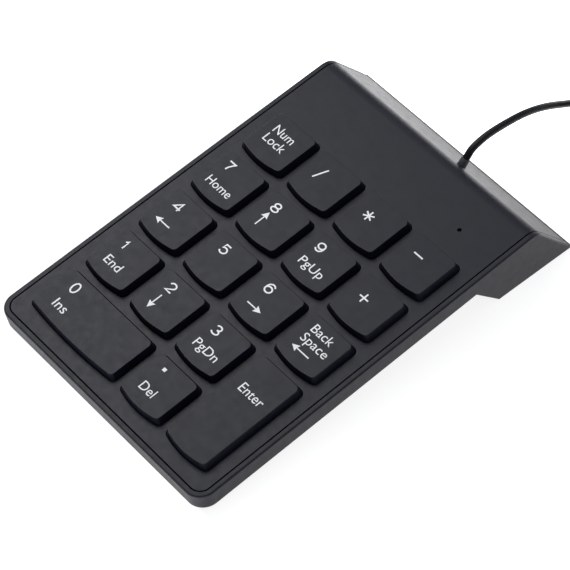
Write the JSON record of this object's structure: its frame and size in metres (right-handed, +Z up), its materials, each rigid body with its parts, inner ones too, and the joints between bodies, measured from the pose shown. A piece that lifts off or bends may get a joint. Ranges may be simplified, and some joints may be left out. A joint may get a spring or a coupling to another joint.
{
  "type": "numeric keypad",
  "caption": "Slim corded numeric keypad: low keycaps on rubber domes in a thin deck that a slanted rear riser tilts, with a coiled USB cord.",
  "frame": {"origin": "on the table, under the middle of the case without its cord", "axes": "+Y to the back, where the cord leaves; +X to the user's right; +Z up"},
  "size_m": [0.0852, 0.2561, 0.0208],
  "materials": {
    "keycap_plastic": "fine matt texture, charcoal",
    "cover_plastic": "fine matt texture, charcoal",
    "case_plastic": "satin, charcoal",
    "silicone": "milky translucent silicone",
    "polyester_film": "clear film with printed tracks",
    "backing_steel": "plain rolled sheet",
    "spring_wire": "drawn wire",
    "screw_steel": "plated",
    "circuit_board": "solder resist",
    "chip_resin": "moulded resin",
    "led_resin": "tinted lens",
    "rubber_feet": "matt black",
    "relief_rubber": "matt black",
    "cord_jacket": "smooth soft jacket, black",
    "tie_plastic": "plastic-covered wire",
    "plug_plastic": "moulded grip, black",
    "plug_metal": "nickel plated shell"
  },
  "bodies": {
    "case": {"backing_plate": "backing_steel", "bottom_case": "case_plastic", "case_screw_1": "screw_steel", "case_screw_2": "screw_steel", "coil_tie": "tie_plastic", "controller_board": "circuit_board", "controller_chip": "chip_resin", "cord": "cord_jacket", "cord_coil": "cord_jacket", "cord_end": "cord_jacket", "dome_0": "silicone", "dome_1": "silicone", "dome_2": "silicone", "dome_3": "silicone", "dome_4": "silicone", "dome_5": "silicone", "dome_6": "silicone", "dome_7": "silicone", "dome_8": "silicone", "dome_9": "silicone", "dome_backspace": "silicone", "dome_decimal": "silicone", "dome_divide": "silicone", "dome_enter": "silicone", "dome_minus": "silicone", "dome_multiply": "silicone", "dome_num_lock": "silicone", "dome_plus": "silicone", "foot_front_left": "rubber_feet", "foot_front_right": "rubber_feet", "foot_rear_left": "rubber_feet", "foot_rear_right": "rubber_feet", "led_lamp": "led_resin", "membrane_lower": "polyester_film", "membrane_spacer": "polyester_film", "membrane_upper": "polyester_film", "plug_grip": "plug_plastic", "plug_shell": "plug_metal", "strain_relief": "relief_rubber", "top_cover": "cover_plastic"},
    "key_0": {"key_0": "keycap_plastic"},
    "key_1": {"key_1": "keycap_plastic"},
    "key_2": {"key_2": "keycap_plastic"},
    "key_3": {"key_3": "keycap_plastic"},
    "key_4": {"key_4": "keycap_plastic"},
    "key_5": {"key_5": "keycap_plastic"},
    "key_6": {"key_6": "keycap_plastic"},
    "key_7": {"key_7": "keycap_plastic"},
    "key_8": {"key_8": "keycap_plastic"},
    "key_9": {"key_9": "keycap_plastic"},
    "key_backspace": {"key_backspace": "keycap_plastic"},
    "key_decimal": {"key_decimal": "keycap_plastic"},
    "key_divide": {"key_divide": "keycap_plastic"},
    "key_enter": {"key_enter": "keycap_plastic"},
    "key_minus": {"key_minus": "keycap_plastic"},
    "key_multiply": {"key_multiply": "keycap_plastic"},
    "key_num_lock": {"key_num_lock": "keycap_plastic"},
    "key_plus": {"key_plus": "keycap_plastic"},
    "stabiliser_0": {"stabiliser_0": "spring_wire"},
    "stabiliser_enter": {"stabiliser_enter": "spring_wire"}
  },
  "joints": [
    {"name": "key_0_press", "type": "slide", "parent": "case", "child": "key_0", "axis": [0, 0.0993, -0.9951], "range_m": [0, 0.0017], "stiffness_N_per_m": 260, "springref_m": -0.0011, "deforming": ["dome_0"]},
    {"name": "key_1_press", "type": "slide", "parent": "case", "child": "key_1", "axis": [0, 0.0993, -0.9951], "range_m": [0, 0.0017], "stiffness_N_per_m": 260, "springref_m": -0.0011, "deforming": ["dome_1"]},
    {"name": "key_2_press", "type": "slide", "parent": "case", "child": "key_2", "axis": [0, 0.0993, -0.9951], "range_m": [0, 0.0017], "stiffness_N_per_m": 260, "springref_m": -0.0011, "deforming": ["dome_2"]},
    {"name": "key_3_press", "type": "slide", "parent": "case", "child": "key_3", "axis": [0, 0.0993, -0.9951], "range_m": [0, 0.0017], "stiffness_N_per_m": 260, "springref_m": -0.0011, "deforming": ["dome_3"]},
    {"name": "key_4_press", "type": "slide", "parent": "case", "child": "key_4", "axis": [0, 0.0993, -0.9951], "range_m": [0, 0.0017], "stiffness_N_per_m": 260, "springref_m": -0.0011, "deforming": ["dome_4"]},
    {"name": "key_5_press", "type": "slide", "parent": "case", "child": "key_5", "axis": [0, 0.0993, -0.9951], "range_m": [0, 0.0017], "stiffness_N_per_m": 260, "springref_m": -0.0011, "deforming": ["dome_5"]},
    {"name": "key_6_press", "type": "slide", "parent": "case", "child": "key_6", "axis": [0, 0.0993, -0.9951], "range_m": [0, 0.0017], "stiffness_N_per_m": 260, "springref_m": -0.0011, "deforming": ["dome_6"]},
    {"name": "key_7_press", "type": "slide", "parent": "case", "child": "key_7", "axis": [0, 0.0993, -0.9951], "range_m": [0, 0.0017], "stiffness_N_per_m": 260, "springref_m": -0.0011, "deforming": ["dome_7"]},
    {"name": "key_8_press", "type": "slide", "parent": "case", "child": "key_8", "axis": [0, 0.0993, -0.9951], "range_m": [0, 0.0017], "stiffness_N_per_m": 260, "springref_m": -0.0011, "deforming": ["dome_8"]},
    {"name": "key_9_press", "type": "slide", "parent": "case", "child": "key_9", "axis": [0, 0.0993, -0.9951], "range_m": [0, 0.0017], "stiffness_N_per_m": 260, "springref_m": -0.0011, "deforming": ["dome_9"]},
    {"name": "key_backspace_press", "type": "slide", "parent": "case", "child": "key_backspace", "axis": [0, 0.0993, -0.9951], "range_m": [0, 0.0017], "stiffness_N_per_m": 260, "springref_m": -0.0011, "deforming": ["dome_backspace"]},
    {"name": "key_decimal_press", "type": "slide", "parent": "case", "child": "key_decimal", "axis": [0, 0.0993, -0.9951], "range_m": [0, 0.0017], "stiffness_N_per_m": 260, "springref_m": -0.0011, "deforming": ["dome_decimal"]},
    {"name": "key_divide_press", "type": "slide", "parent": "case", "child": "key_divide", "axis": [0, 0.0993, -0.9951], "range_m": [0, 0.0017], "stiffness_N_per_m": 260, "springref_m": -0.0011, "deforming": ["dome_divide"]},
    {"name": "key_enter_press", "type": "slide", "parent": "case", "child": "key_enter", "axis": [0, 0.0993, -0.9951], "range_m": [0, 0.0017], "stiffness_N_per_m": 260, "springref_m": -0.0011, "deforming": ["dome_enter"]},
    {"name": "key_minus_press", "type": "slide", "parent": "case", "child": "key_minus", "axis": [0, 0.0993, -0.9951], "range_m": [0, 0.0017], "stiffness_N_per_m": 260, "springref_m": -0.0011, "deforming": ["dome_minus"]},
    {"name": "key_multiply_press", "type": "slide", "parent": "case", "child": "key_multiply", "axis": [0, 0.0993, -0.9951], "range_m": [0, 0.0017], "stiffness_N_per_m": 260, "springref_m": -0.0011, "deforming": ["dome_multiply"]},
    {"name": "key_num_lock_press", "type": "slide", "parent": "case", "child": "key_num_lock", "axis": [0, 0.0993, -0.9951], "range_m": [0, 0.0017], "stiffness_N_per_m": 260, "springref_m": -0.0011, "deforming": ["dome_num_lock"]},
    {"name": "key_plus_press", "type": "slide", "parent": "case", "child": "key_plus", "axis": [0, 0.0993, -0.9951], "range_m": [0, 0.0017], "stiffness_N_per_m": 260, "springref_m": -0.0011, "deforming": ["dome_plus"]},
    {"name": "stabiliser_0_swing", "type": "hinge", "parent": "case", "child": "stabiliser_0", "pos_m": [-0.019, -0.04749, 0.00555], "axis": [1, 0, 0], "range_deg": [0, 12.33]},
    {"name": "stabiliser_enter_swing", "type": "hinge", "parent": "case", "child": "stabiliser_enter", "pos_m": [0.0343, -0.04381, 0.00592], "axis": [0, -0.9951, -0.0993], "range_deg": [0, 12.33]}
  ],
  "couplings": [
    {"joint": "stabiliser_0_swing", "follows": "key_0_press", "rad_per_m": 126.05},
    {"joint": "stabiliser_enter_swing", "follows": "key_enter_press", "rad_per_m": 126.05}
  ]
}
